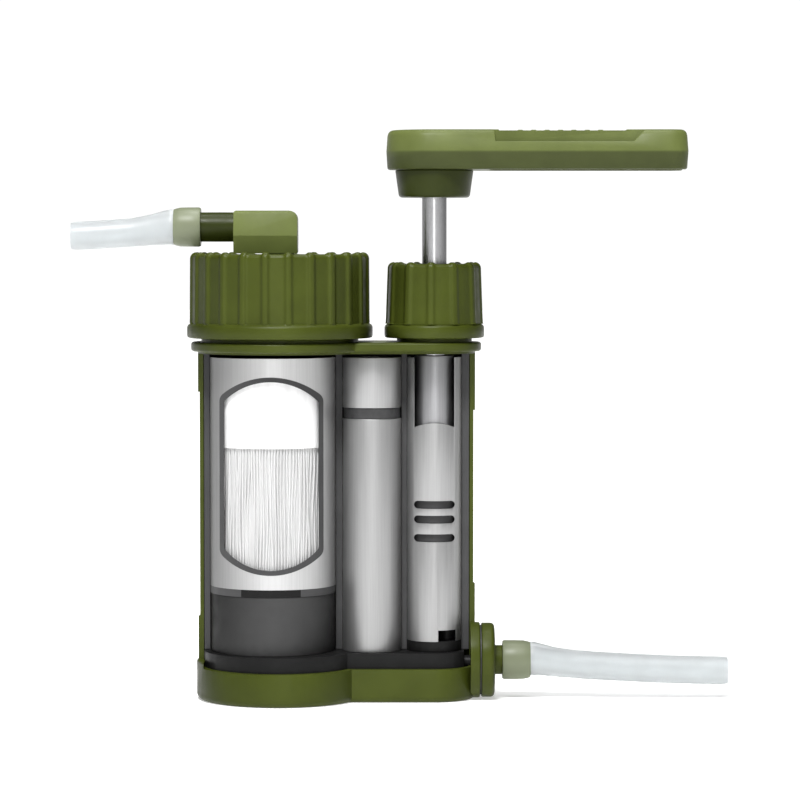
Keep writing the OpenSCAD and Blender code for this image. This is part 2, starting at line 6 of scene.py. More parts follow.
import bmesh
import bpy
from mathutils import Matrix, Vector


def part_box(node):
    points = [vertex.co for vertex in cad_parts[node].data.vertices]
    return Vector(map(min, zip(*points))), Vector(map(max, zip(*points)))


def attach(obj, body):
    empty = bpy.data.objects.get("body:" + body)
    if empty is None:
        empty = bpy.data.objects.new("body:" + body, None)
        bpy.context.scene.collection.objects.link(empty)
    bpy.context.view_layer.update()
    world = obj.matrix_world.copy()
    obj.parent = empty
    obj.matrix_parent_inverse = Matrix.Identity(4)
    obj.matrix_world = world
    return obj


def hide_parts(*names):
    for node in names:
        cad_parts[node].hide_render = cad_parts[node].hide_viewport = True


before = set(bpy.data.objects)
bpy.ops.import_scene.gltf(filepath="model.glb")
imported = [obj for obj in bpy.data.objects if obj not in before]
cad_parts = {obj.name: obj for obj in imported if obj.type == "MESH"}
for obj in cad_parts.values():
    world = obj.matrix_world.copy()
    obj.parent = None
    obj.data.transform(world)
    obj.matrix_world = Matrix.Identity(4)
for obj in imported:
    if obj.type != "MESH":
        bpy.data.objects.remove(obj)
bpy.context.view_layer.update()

MM = 0.001
TAU = 2 * math.pi
scene = bpy.context.scene


def middle(node, axis):
    low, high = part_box(node)
    return (low[axis] + high[axis]) / 2


PUMP_X = middle("piston_rod", 0)
FILTER_X = middle("cap_liner", 0)
CANISTER_X = middle("filter_canister", 0)
OUTLET_Z = middle("outlet_ring", 2)
INTAKE_Z = middle("intake_cuff", 2)

# The hoses' centre lines as in the part's source: distance along X, height and outer radius.
INTAKE_ROUTE = [(-31.8, 142, 5.4), (-34, 141.8, 5.1), (-38, 141.2, 4.6), (-44, 140.4, 4.25),
                (-50, 140, 4.2), (-56, 139.6, 4.2), (-62.6, 139.3, 4.2)]
OUTLET_ROUTE = [(75.4, 11.9, 5.2), (78, 11.6, 4.8), (82, 10.9, 4.45), (88, 10.2, 4.25),
                (96, 9.6, 4.2), (104, 9.2, 4.2), (112, 8.8, 4.2), (120, 8.5, 4.2),
                (128, 8.3, 4.2), (135, 8.2, 4.2)]
HOSE_BORE_R = 2.95 * MM


# ---- camera ----

def aimed(place, target):
    """The rotation of a camera or light that looks from one point to another."""
    return (Vector(target) - Vector(place)).to_track_quat("-Z", "Y").to_euler()


def add_camera(place, target, lens):
    data = bpy.data.cameras.new("camera")
    data.lens = lens
    data.sensor_width = 36
    data.clip_start = 0.01
    camera = bpy.data.objects.new("camera", data)
    camera.location = place
    camera.rotation_euler = aimed(place, target)
    scene.collection.objects.link(camera)
    scene.camera = camera


VIEW_X = 0.0361
add_camera((VIEW_X, -1.009, 0.1368), (VIEW_X, 0, 0.09), lens=151)


# ---- materials ----

class Graph:
    """A material's node tree, with its shader, and helpers that add and join nodes."""

    def __init__(self, name, colour, roughness, metallic=0.0):
        self.material = bpy.data.materials.new(name)
        self.material.use_nodes = True
        self.tree = self.material.node_tree
        self.shader = self.tree.nodes["Principled BSDF"]
        self.shader.inputs["Base Color"].default_value = (*colour, 1)
        self.shader.inputs["Roughness"].default_value = roughness
        self.shader.inputs["Metallic"].default_value = metallic
        self.material.diffuse_color = (*colour, 1)
        source = self.node("ShaderNodeTexCoord")
        self.coords = source.outputs["Object"]
        self.normal = source.outputs["Normal"]

    def node(self, kind, **values):
        made = self.tree.nodes.new(kind)
        for key, value in values.items():
            setattr(made, key, value)
        return made

    def join(self, a, b):
        self.tree.links.new(a, b)

    def noise(self, scale, detail=2.0, stretch=(1, 1, 1)):
        mapping = self.node("ShaderNodeMapping")
        mapping.inputs["Scale"].default_value = stretch
        self.join(self.coords, mapping.inputs["Vector"])
        noise = self.node("ShaderNodeTexNoise")
        noise.inputs["Scale"].default_value = scale
        noise.inputs["Detail"].default_value = detail
        self.join(mapping.outputs["Vector"], noise.inputs["Vector"])
        return noise.outputs["Fac"]

    def maths(self, operation, *values):
        """The result of a math node. Each value is a number or another node's output."""
        made = self.node("ShaderNodeMath", operation=operation)
        for socket, value in zip(made.inputs, values):
            if isinstance(value, float):
                socket.default_value = value
            else:
                self.join(value, socket)
        return made.outputs["Value"]

    def part(self, vector, axis):
        """One of X, Y and Z out of a vector."""
        split = self.node("ShaderNodeSeparateXYZ")
        self.join(vector, split.inputs["Vector"])
        return split.outputs[axis]

    def remap(self, value, low, high, start=0.3, end=0.7):
        """The value moved from the range start to end into low to high, and kept inside it."""
        made = self.node("ShaderNodeMapRange")
        made.inputs["From Min"].default_value = start
        made.inputs["From Max"].default_value = end
        made.inputs["To Min"].default_value = low
        made.inputs["To Max"].default_value = high
        self.join(value, made.inputs["Value"])
        return made.outputs["Result"]

    def colour(self, value, low, high):
        """A base colour that goes from low to high with the value."""
        ramp = self.node("ShaderNodeValToRGB")
        first, last = ramp.color_ramp.elements
        first.position, last.position = 0.3, 0.7
        first.color, last.color = (*low, 1), (*high, 1)
        self.join(value, ramp.inputs["Fac"])
        self.join(ramp.outputs["Color"], self.shader.inputs["Base Color"])

    def scale_colour(self, share):
        """Multiply the base colour that is there by a share."""
        base = self.shader.inputs["Base Color"]
        scaled = self.node("ShaderNodeVectorMath", operation="SCALE")
        self.join(base.links[0].from_socket, scaled.inputs[0])
        self.join(share, scaled.inputs["Scale"])
        self.join(scaled.outputs["Vector"], base)

    def painted_side_shade(self, edge, lean=0.0):
        """Painted shade: darken the base colour to a share of edge where the surface turns to +-X, in
        place of the light that falls off towards the sides.
        A lean lets more of it stay on the +X side than on the -X side."""
        side = self.part(self.normal, "X")
        turn = self.maths("POWER", self.maths("MULTIPLY", side, side), 0.8)
        share = self.remap(turn, 1.0, edge, 0.0, 1.0)
        self.scale_colour(self.maths("MULTIPLY_ADD", side, lean, share))

    def painted_under_shade(self, share):
        """Painted shade: darken the base colour to a share of it where the surface leans downwards, in
        place of the shade under the part.
        """
        self.scale_colour(self.remap(self.part(self.normal, "Z"), share, 1.0, -0.2, 0.12))

    def roughness(self, value, low, high):
        self.join(self.remap(value, low, high), self.shader.inputs["Roughness"])

    def bump(self, value, distance, strength=1.0):
        made = self.node("ShaderNodeBump")
        made.inputs["Strength"].default_value = strength
        made.inputs["Distance"].default_value = distance
        self.join(value, made.inputs["Height"])
        before = self.shader.inputs["Normal"].links
        if before:
            self.join(before[0].from_socket, made.inputs["Normal"])
        self.join(made.outputs["Normal"], self.shader.inputs["Normal"])


def shade(colour, by):
    return tuple(min(1.0, c * by) for c in colour)


MOULDED_SPECULAR = 0.13


def moulded(name, colour, roughness, edge=None, lean=0.0, under=None):
    """Moulded plastic: a spark-eroded grain, slow changes of tone, and patches of wear. An edge paints
    shade on the sides that turn to +-X, and under paints shade where the surface leans down.
    """
    grain, spread = 0.00004, 0.1
    g = Graph(name, colour, roughness)
    g.colour(g.noise(90, 4), shade(colour, 1 - spread), shade(colour, 1 + spread))
    # painted shade on the sides that turn to +-X
    if edge is not None:
        g.painted_side_shade(edge, lean)
    # painted shade where the surface leans down
    if under is not None:
        g.painted_under_shade(under)
    g.roughness(g.noise(260, 3), roughness - 0.07, roughness + 0.07)
    g.bump(g.noise(3800, 2), grain, 0.6)
    g.bump(g.noise(120, 2), grain, 0.5)
    g.shader.inputs["Specular IOR Level"].default_value = MOULDED_SPECULAR
    return g.material


def drawn_metal(name, colour, roughness, edge, along=(1, 1, 0.02), metallic=0.8, lean=0.0):
    """Metal with fine draw marks along one direction, and painted shade where it turns to the sides.
    """
    g = Graph(name, colour, roughness, metallic)
    streaks = g.noise(2600, 3, along)
    g.colour(streaks, shade(colour, 0.95), shade(colour, 1.04))
    # painted shade towards the sides that turn to +-X
    g.painted_side_shade(edge, lean)
    g.roughness(g.noise(900, 3, along), roughness - 0.04, roughness + 0.05)
    g.bump(streaks, 0.000006, 0.35)
    return g.material


def rubber(name, colour):
    g = Graph(name, colour, 0.6)
    g.colour(g.noise(400, 3), shade(colour, 0.8), shade(colour, 1.25))
    g.roughness(g.noise(700, 2), 0.52, 0.7)
    g.bump(g.noise(2500, 3), 0.00003, 0.6)
    return g.material


def silicone(name, colour, transmission, roughness):
    """Soft translucent hose material, with faint changes of tone and gloss."""
    g = Graph(name, colour, roughness)
    g.colour(g.noise(160, 3), shade(colour, 0.95), shade(colour, 1.04))
    g.roughness(g.noise(90, 2), roughness - 0.03, roughness + 0.03)
    g.shader.inputs["Transmission Weight"].default_value = transmission
    g.shader.inputs["IOR"].default_value = 1.41
    return g.material


def carbon_grains(name):
    g = Graph(name, (0.02, 0.02, 0.02), 0.75)
    cells = g.node("ShaderNodeTexVoronoi")
    cells.inputs["Scale"].default_value = 1500
    g.join(g.coords, cells.inputs["Vector"])
    g.colour(cells.outputs["Distance"], (0.012, 0.012, 0.012), (0.05, 0.05, 0.05))
    g.bump(cells.outputs["Distance"], 0.0001, 0.8)
    return g.material


def fibre_white(name, tone):
    """White fibre or resin: faint lengthwise streaks, and light that enters a little way."""
    g = Graph(name, (tone, tone, tone * 0.99), 0.5)
    g.colour(g.noise(500, 3, (1, 1, 0.08)), (tone * 0.92,) * 3, (tone * 1.06,) * 3)
    g.roughness(g.noise(900, 2), 0.42, 0.6)
    g.bump(g.noise(5000, 2, (1, 1, 0.1)), 0.00003, 0.5)
    g.shader.inputs["Subsurface Weight"].default_value = 0.15
    g.shader.inputs["Subsurface Radius"].default_value = (0.0006, 0.0006, 0.0006)
    return g.material


# OLIVE's edge paints shade on its sides that turn to +-X, down to 0.45 of the colour
OLIVE = moulded("olive_plastic", (0.049, 0.062, 0.0075), 0.38, edge=0.45)
# a darker copy of the olive plastic for parts that sit in shade: painted shade, with edge adding
# painted shade at the sides
SHADED_OLIVE = moulded("shaded_olive_plastic", (0.024, 0.031, 0.004), 0.38, edge=0.8)
# a lighter copy of the olive plastic: painted light from above
LIT_OLIVE = moulded("lit_olive_plastic", (0.110, 0.134, 0.036), 0.42)
# a lighter copy of the olive plastic: painted light from above, with painted shade on surfaces that
# lean down
LIT_GRIP_OLIVE = moulded("lit_grip_olive_plastic", (0.098, 0.119, 0.034), 0.42, under=0.48)
DARK_GREY = moulded("dark_grey_plastic", (0.060, 0.060, 0.061), 0.5)
# the liner's edge paints shade that goes all the way to black where it turns to +-X
LINER = moulded("liner_plastic", (0.055, 0.055, 0.056), 0.5, edge=0.0)
BLACK = moulded("black_plastic", (0.010, 0.010, 0.010), 0.45)
# the carbon cup's edge and lean paint shade on its sides, less of it on the +X side
CARBON_CUP = moulded("carbon_cup_plastic", (0.056, 0.056, 0.056), 0.5, edge=0.2, lean=0.14)
# each metal's edge paints shade on its sides that turn to +-X, and its lean makes that painted shade
# uneven between the two sides
CANISTER = drawn_metal("canister_metal", (0.58, 0.58, 0.58), 0.46, 0.48, lean=0.2)
TUBE = drawn_metal("tube_metal", (0.385, 0.385, 0.385), 0.46, 0.8, lean=-0.05)
ROD = drawn_metal("rod_steel", (0.52, 0.52, 0.53), 0.25, 0.35, (1, 1, 60), 1.0, -0.12)
STEEL = drawn_metal("bright_steel", (0.38, 0.38, 0.39), 0.4, 0.45, metallic=0.9)
SEAL = rubber("seal_rubber", (0.03, 0.03, 0.031))
CARBON = carbon_grains("carbon_grains")
FIBRE = fibre_white("fibre_white", 0.56)
RESIN = fibre_white("resin_white", 0.86)
CUFF = silicone("cuff_silicone", (0.165, 0.185, 0.115), 0.0, 0.42)
HOSE = silicone("hose_silicone", (0.76, 0.79, 0.80), 0.7, 0.35)


# ---- mesh helpers ----

def new_piece(name, mesh, material, body, replaces=()):
    mesh.materials.clear()
    mesh.materials.append(material)
    piece = bpy.data.objects.new(name, mesh)
    scene.collection.objects.link(piece)
    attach(piece, body)
    if replaces:
        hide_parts(*replaces)
    return piece


def smooth(mesh, sharp_deg=35):
    mesh.shade_smooth()
    mesh.set_sharp_from_angle(angle=math.radians(sharp_deg))


def mesh_of(points, faces, sharp_deg=35):
    mesh = bpy.data.meshes.new("made")
    mesh.from_pydata([tuple(p) for p in points], [], faces)
    mesh.update()
    bm = bmesh.new()
    bm.from_mesh(mesh)
    bmesh.ops.recalc_face_normals(bm, faces=bm.faces)
    bm.to_mesh(mesh)
    bm.free()
    smooth(mesh, sharp_deg)
    return mesh


def joined(*meshes):
    """One mesh from several closed ones."""
    bm = bmesh.new()
    for mesh in meshes:
        bm.from_mesh(mesh)
    out = bpy.data.meshes.new("joined")
    bm.to_mesh(out)
    bm.free()
    smooth(out)
    return out


def filleted(corners, steps=5):
    """A closed outline from (a, b, radius) corners, with each corner rounded by an arc."""
    out = []
    count = len(corners)
    for i, (a, b, radius) in enumerate(corners):
        here = Vector((a, b))
        before = Vector(corners[i - 1][:2]) - here
        after = Vector(corners[(i + 1) % count][:2]) - here
        if radius <= 0:
            out.append(tuple(here))
            continue
        angle = before.angle(after)
        reach = radius / math.tan(angle / 2)
        centre = here + (before.normalized() + after.normalized()).normalized() \
            * (radius / math.sin(angle / 2))
        start = here + before.normalized() * reach - centre
        end = here + after.normalized() * reach - centre
        turn = start.angle_signed(end)
        for k in range(steps + 1):
            t = -turn * k / steps
            out.append((centre.x + start.x * math.cos(t) - start.y * math.sin(t),
                        centre.y + start.x * math.sin(t) + start.y * math.cos(t)))
    return out


def grid_faces(rows, columns, close_rows):
    """Quads of a grid whose columns wrap round; rows wrap too if close_rows."""
    faces = []
    for i in range(rows if close_rows else rows - 1):
        for k in range(columns):
            n, j = (k + 1) % columns, (i + 1) % rows
            faces.append((i * columns + k, i * columns + n, j * columns + n, j * columns + k))
    return faces


def turned(section, centre, along="Z", steps=96):
    """A closed section of (radius, distance) points, in millimetres, turned about an axis."""
    points = []
    for radius, distance in section:
        for k in range(steps):
            t = TAU * k / steps
            a, b = radius * MM * math.cos(t), radius * MM * math.sin(t)
            if along == "Z":
                points.append((centre[0] + a, centre[1] + b, distance * MM))
            else:
                points.append((distance * MM, centre[1] + a, centre[2] + b))
    return mesh_of(points, grid_faces(len(section), steps, True))


def prism(outline, low, high, plane):
    """An outline in millimetres, extruded. plane is the pair of axes that the outline is in."""
    spare = ({0, 1, 2} - set(plane)).pop()
    points = []
    for level in (low, high):
        for a, b in outline:
            p = [0, 0, 0]
            p[plane[0]], p[plane[1]], p[spare] = a * MM, b * MM, level * MM
            points.append(p)
    n = len(outline)
    faces = [tuple(range(n)), tuple(range(n, 2 * n))]
    faces += [(k, (k + 1) % n, (k + 1) % n + n, k + n) for k in range(n)]
    return mesh_of(points, faces)


def applied(mesh, modifiers):
    """The mesh after a list of (kind, settings) modifiers; a cutter is given as a mesh."""
    piece = bpy.data.objects.new("work", mesh)
    scene.collection.objects.link(piece)
    helpers = []
    for kind, settings in modifiers:
        modifier = piece.modifiers.new(kind, kind)
        for key, value in settings.items():
            if key == "cutter":
                other = bpy.data.objects.new("cutter", value)
                scene.collection.objects.link(other)
                helpers.append(other)
                modifier.object = other
            else:
                setattr(modifier, key, value)
    bpy.context.view_layer.update()
    made = bpy.data.meshes.new_from_object(
        piece.evaluated_get(bpy.context.evaluated_depsgraph_get()))
    for extra in [piece, *helpers]:
        bpy.data.objects.remove(extra)
    return made


def cut(mesh, *cutters):
    """The mesh less each cutter, in turn."""
    return applied(mesh, [("BOOLEAN", {"operation": "DIFFERENCE", "cutter": c}) for c in cutters])


def bevelled(mesh, width, angle=32):
    """The mesh with edges sharper than an angle in degrees rounded to a width in millimetres."""
    settings = {"width": width * MM, "segments": 3, "limit_method": "ANGLE",
                "angle_limit": math.radians(angle)}
    made = applied(mesh, [("BEVEL", settings)])
    smooth(made, 40)
    return made


# ---- hoses ----

def hose_mesh(route):
    """A hollow hose along a route in the X-Z plane, with square, slightly rounded ends."""
    sides, parts = 48, 4  # points round a ring, and rings from one point of the route on
    centres = [Vector((x * MM, 0, z * MM)) for x, z, _ in route]
    finer = []
    for i in range(len(route) - 1):
        for k in range(parts):
            t = k / parts
            finer.append((centres[i].lerp(centres[i + 1], t),
                          (route[i][2] * (1 - t) + route[i + 1][2] * t) * MM))
    finer.append((centres[-1], route[-1][2] * MM))
    last = len(finer) - 1
    lip = 0.25 * MM
    outside = [(i, radius - (lip if i in (0, last) else 0))
               for i, (_, radius) in enumerate(finer)]
    bore = [(i, HOSE_BORE_R) for i in range(len(finer))]
    points = []
    for i, radius in outside + bore[::-1]:
        ahead = finer[min(i + 1, last)][0] - finer[max(i - 1, 0)][0]
        ahead.normalize()
        if i in (0, last):
            ahead = Vector((math.copysign(1, ahead.x), 0, 0))
        up = Vector((-ahead.z, 0, ahead.x)) * math.copysign(1, ahead.x)
        for k in range(sides):
            t = TAU * k / sides
            points.append(finer[i][0] + up * radius * math.cos(t)
                          + Vector((0, radius * math.sin(t), 0)))
    return mesh_of(points, grid_faces(2 * len(finer), sides, True), 50)


def cuff_mesh(x0, x1, z, out_r):
    """The hose's wide end, stretched over the nozzle: it swells a little in the middle."""
    bore_r = 3.55
    run = x1 - x0
    d = math.copysign(1, run)
    section = [(bore_r, x0), (out_r - 0.25, x0), (out_r, x0 + 0.5 * d),
               (out_r, x0 + run * 0.45), (out_r - 0.06, x0 + run * 0.75),
               (out_r - 0.3, x1 - 0.9 * d), (out_r - 0.62, x1), (bore_r, x1)]
    return turned(section, (0, 0, z), "X", 72)


new_piece("intake_hose_tail", hose_mesh(INTAKE_ROUTE), HOSE, "spout",
          ["intake_hose"])
outlet_hose = new_piece("outlet_hose_tail", hose_mesh(OUTLET_ROUTE), HOSE, "housing",
                        ["outlet_hose"])


def add_cuffs():
    for node, name, body in (("intake_cuff", "intake_hose_cuff", "spout"),
                             ("outlet_cuff", "outlet_hose_cuff", "housing")):
        low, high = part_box(node)
        near, far = (high[0], low[0]) if node == "intake_cuff" else (low[0], high[0])
        out_r = (high[2] - low[2]) / 2 / MM
        mesh = cuff_mesh(near / MM, far / MM, (low[2] + high[2]) / 2, out_r)
        new_piece(name, mesh, CUFF, body, [node])


add_cuffs()


# ---- caps ----

RIB_SHARE = 0.15  # half a rib's width, as a share of the distance between ribs


def ribbed_cap(section, ribs, height, phase, centre):
    """A cap turned from a closed section of (radius, z, share of the rib's height) points. The
    ribs stand out along the section's own normal."""
    samples = 28  # columns of points to each rib
    count = len(section)
    columns = ribs * samples
    points = []
    for i, (r, z, share) in enumerate(section):
        before, after = section[i - 1], section[(i + 1) % count]
        run = Vector((after[0] - before[0], after[1] - before[1]))
        out = Vector((run.y, -run.x)).normalized()
        for k in range(columns):
            u = (k / samples) % 1.0
            across = min(u, 1 - u) / RIB_SHARE
            bump = 1 / (1 + across ** 5)
            t = math.radians(phase) + TAU * k / columns
            rr = (r + out.x * height * share * bump) * MM
            zz = (z + out.y * height * share * bump) * MM
            points.append((centre + rr * math.cos(t), rr * math.sin(t), zz))
    return mesh_of(points, grid_faces(count, columns, True), 40)


def cap_section(low, top, rim_r, rim_top, skirt_r, top_r, bore_r, roof, inner_r, fade):
    """Closed section of a screw cap, in millimetres, with each point's share of rib height.
    The ribs fade out over the top within a distance of fade from its rounded edge."""
    edge, chamfer, low_corner, rim_corner = 1.3, 0.4, 0.7, 1.0
    foot = rim_top + 0.15
    section = [(inner_r, low + chamfer, 0), (inner_r + chamfer, low, 0),
               (rim_r - low_corner, low, 0), (rim_r - 0.2, low + 0.2, 0),
               (rim_r, low + low_corner, 0), (rim_r, rim_top - rim_corner, 0),
               (rim_r - 0.3, rim_top - 0.4, 0), (rim_r - 0.8, rim_top - 0.1, 0),
               (skirt_r + 0.35, rim_top, 0.9), (skirt_r + 0.05, foot, 1)]
    for k in range(1, 12):
        t = k / 12
        section.append((skirt_r + (top_r - skirt_r) * t, foot + (top - edge - foot) * t, 1))
    for k in range(7):
        t = math.pi / 2 * k / 6
        section.append((top_r - edge + edge * math.cos(t), top - edge + edge * math.sin(t), 1))
    for k in range(1, 6):
        section.append((top_r - edge - fade * k / 5, top, (1 - k / 5) ** 1.5))
    section += [(bore_r + 0.3, top, 0), (bore_r, top - 0.3, 0), (bore_r, roof, 0),
                (inner_r - 0.5, roof, 0), (inner_r, roof - 0.5, 0)]
    return section


def add_cap(node, body, centre, ribs, height, rise, phase, **shape):
    """A cap in place of a CAD node. The ribs stand rise above its flat top, and the first one
    is at the angle phase."""
    low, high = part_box(node)
    section = cap_section(low[2] / MM, high[2] / MM - rise, (high[0] - low[0]) / 2 / MM, **shape)
    mesh = ribbed_cap(section, ribs, height, phase, centre)
    new_piece(node + "_ribbed", mesh, OLIVE, body, [node])


add_cap("filter_cap", "filter_closure", FILTER_X, ribs=24, height=0.66, rise=0.7, phase=97.5,
        rim_top=113.1, skirt_r=26.5, top_r=26.35, bore_r=4.6, roof=127.1, inner_r=24.2, fade=2.2)
add_cap("pump_cap", "pump_closure", PUMP_X, ribs=12, height=0.55, rise=0.65, phase=85,
        rim_top=113, skirt_r=14.1, top_r=13.5, bore_r=6.0, roof=128.1, inner_r=11.7, fade=1.6)


# ---- elbow, hub and handle ----

def add_elbow():
    """The block, whose sides lean in above and below its belly, the nozzle at its left and the
    stem that turns in the filter cap."""
    low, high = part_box("elbow_spout")
    tip, right, top = low[0] / MM, high[0] / MM, high[2] / MM
    left, base, belly = -13.7, 134.1, 139.4
    base_w, belly_w, top_w = 5.0, 6.4, 4.3  # half widths at those heights and at the top
    bore_r = 2.3
    profile = filleted([(left, base, 0.3), (right, base, 0.6), (right, top, 2.6),
                        (left, top, 0.8)], 6)
    section = filleted([(-base_w, base, 0), (base_w, base, 0), (belly_w, belly, 0.4),
                        (top_w, top, 1.2), (-top_w, top, 1.2), (-belly_w, belly, 0.4)], 5)
    block = applied(prism(profile, -7, 7, (0, 2)),
                    [("BOOLEAN", {"operation": "INTERSECT",
                                  "cutter": prism(section, -20, 20, (1, 2))})])
    block = bevelled(block, 0.35, 28)

    nozzle_r, tip_r, shoulder = 4.4, 3.5, -23.7
    nozzle = turned([(bore_r, left + 2), (nozzle_r, left + 2), (nozzle_r, left - 0.1),
                     (nozzle_r + 0.02, left - 4), (nozzle_r, shoulder), (tip_r, shoulder - 0.2),
                     (tip_r, tip + 0.4), (tip_r - 0.3, tip), (bore_r, tip)],
                    (0, 0, INTAKE_Z), "X", 72)

    stem_r, stem_low, stem_top = 4.3, 121.6, 134.6
    clip_low, clip_top, clip_r = 122.6, 123.6, 3.6
    ring_low, ring_top, ring_r = 125.0, 126.1, 3.35
    stem = turned([(bore_r, stem_low), (stem_r - 0.3, stem_low), (stem_r, stem_low + 0.4),
                   (stem_r, clip_low), (clip_r, clip_low), (clip_r, clip_top),
                   (stem_r, clip_top), (stem_r, ring_low), (ring_r, ring_low),
                   (ring_r, ring_top), (stem_r, ring_top), (stem_r, stem_top),
                   (bore_r, stem_top)], (FILTER_X, 0, 0), "Z", 64)
    # the elbow's block and stem take the lighter copy of the olive plastic: painted light from above
    new_piece("elbow_body", joined(block, stem), LIT_OLIVE, "spout",
              ["elbow_spout"])
    # the nozzle takes the darker copy of the olive plastic: painted shade
    new_piece("elbow_nozzle", nozzle, SHADED_OLIVE, "spout",
              ["elbow_spout"])


def add_hub():
    """The tapered collar on the rod, with the spigot that the handle turns on."""
    low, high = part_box("handle_hub")
    base, seat, top = low[2] / MM, 159.0, high[2] / MM
    bore_r, base_r, seat_r, spigot_r = 3.7, 10.6, 11.75, 5.25
    section = filleted([(bore_r, base, 0.2), (base_r, base, 1.1), (seat_r, seat, 0.35),
                        (spigot_r, seat, 0.2), (spigot_r, top, 0.3), (bore_r, top, 0)], 5)
    # the collar takes the darker copy of the olive plastic: painted shade
    new_piece("handle_collar", turned(section, (PUMP_X, 0, 0)), SHADED_OLIVE, "piston",
              ["handle_hub"])


def handle_outline(inset, side_inset):
    """Plan of the handle: round about the pump's axis, square at the other end. The long sides
    are inset by side_inset, and the two ends by inset."""
    corner_r, round_r = 5.5, 14.4
    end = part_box("handle_shell")[1][0] / MM - inset
    centre = PUMP_X / MM
    half = round_r - inset
    corner = corner_r - inset
    out = []
    for k in range(9):
        t = -math.pi / 2 + math.pi / 2 * k / 8
        out.append((end - corner + corner * math.cos(t), -half + corner + corner * math.sin(t)))
    for k in range(9):
        t = math.pi / 2 * k / 8
        out.append((end - corner + corner * math.cos(t), half - corner + corner * math.sin(t)))
    for k in range(33):
        t = math.pi / 2 + math.pi * k / 32
        out.append((centre + half * math.cos(t), half * math.sin(t)))
    narrow = (round_r - side_inset) / half
    return [(x, y * narrow) for x, y in out]


def stacked(levels):
    """A solid through outlines at several heights: a list of (z, outline) in millimetres."""
    columns = len(levels[0][1])
    points = [(x * MM, y * MM, z * MM) for z, outline in levels for x, y in outline]
    faces = grid_faces(len(levels), columns, False)
    top = (len(levels) - 1) * columns
    faces += [tuple(range(columns)), tuple(range(top, top + columns))]
    return mesh_of(points, faces)


def box_outline(x0, x1, y0, y1, radius=0):
    return filleted([(x0, y0, radius), (x1, y0, radius), (x1, y1, radius), (x0, y1, radius)], 4)


def circle_outline(x, radius):
    count = 64
    return [(x + radius * math.cos(TAU * k / count), radius * math.sin(TAU * k / count))
            for k in range(count)]


def add_handle():
    """The handle's shell. Its sides lean in above and below the belly, and it is cut out for
    the ledges, the grip's recess, the hollow underneath, the notch at its end, and the hub."""
    low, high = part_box("handle_shell")
    base, top = low[2] / MM, high[2] / MM
    end, axis = high[0] / MM, PUMP_X / MM
    belly = base + 5.4
    low_lean, top_lean = 1.35, 1.75
    levels = []
    for z, edge in ((base, 0.5), (base + 0.15, 0.22), (base + 0.5, 0), (belly - 0.35, 0),
                    (belly, 0), (belly + 0.35, 0), (top - 1.8, 0), (top - 1.1, 0.12),
                    (top - 0.55, 0.42), (top - 0.2, 0.8), (top, 1.4)):
        if z < belly:
            lean = low_lean * (belly - z) / (belly - base)
        else:
            lean = top_lean * (z - belly) / (top - belly)
        levels.append((z, handle_outline(edge + 0.25 * lean, edge + max(lean, 0.05))))
    shell = stacked(levels)

    ledge_x, ledge_y, ledge_z = (64.4, 105.4), 10.9, 167.3
    recess_x, recess_z = (65.4, 103.4), 170.6
    hollow_x, hollow_y, hollow_top = (63, end - 2.2), 9.3, 168.3
    notch_x, notch_y = 100, 6.6
    spigot_r, head_r, head_z, plug_r, plug_z = 5.3, 7.3, 166.5, 8.0, 168.9
    under, over = base - 1, top + 4  # clear of the shell, below and above
    ledge = [(ledge_x[0], ledge_z), (ledge_x[1], ledge_z), (ledge_x[1] + 4.5, top + 1.1),
             (ledge_x[0] - 0.6, top + 1.1)]
    shell = cut(shell, prism(ledge, ledge_y, 20, (0, 2)), prism(ledge, -20, -ledge_y, (0, 2)),
                prism(box_outline(*recess_x, -20, 20), recess_z, over, (0, 1)),
                prism(box_outline(*hollow_x, -hollow_y, hollow_y, 2.5), under, hollow_top, (0, 1)),
                prism(box_outline(notch_x, end + 3, -notch_y, notch_y), under, hollow_top, (0, 1)),
                prism(circle_outline(axis, spigot_r), under, over, (0, 1)),
                prism(circle_outline(axis, head_r), head_z, over, (0, 1)),
                prism(circle_outline(axis, plug_r), plug_z, over, (0, 1)))
    shell = bevelled(shell, 0.4, 38)
    # the handle takes the lighter copy of the olive plastic: painted light above, painted shade below
    new_piece("handle_grip", shell, LIT_GRIP_OLIVE, "handle",
              ["handle_shell"])


def add_handle_plug():
    """The cover over the handle's screw, with a shallow dish in its top."""
    low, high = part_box("handle_plug")
    base, top = low[2] / MM, high[2] / MM
    middle_r, out_r, dish_r, dish = 0.3, 7.95, 6.6, 0.3
    section = filleted([(middle_r, base, 0), (out_r, base, 0.2), (out_r, top, 0.4),
                        (dish_r, top, 0.1), (dish_r - dish, top - dish, 0.1),
                        (middle_r, top - dish, 0)], 4)
    # the screw cover takes the lighter copy of the olive plastic: painted light
    new_piece("handle_screw_cover", turned(section, (PUMP_X, 0, 0)), LIT_GRIP_OLIVE, "handle",
              ["handle_plug"])


def add_grip_bars():
    low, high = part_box("handle_grip_pad")
    base, top = low[2] / MM, high[2] / MM
    first_x, pitch, half_w, half_l = 72, 4, 0.8, 6
    bars = []
    for k in range(7):
        x = first_x + pitch * k
        outline = box_outline(x - half_w, x + half_w, -half_l, half_l, half_w - 0.02)
        bars.append(bevelled(prism(outline, base - 0.1, top, (0, 1)), 0.2))
    # the grip bars take the lighter copy of the olive plastic: painted light
    new_piece("handle_grip_bars", joined(*bars), LIT_GRIP_OLIVE, "handle",
              ["handle_grip_pad"])


add_elbow()
add_hub()
add_handle()
add_handle_plug()
add_grip_bars()


# ---- outlet ----

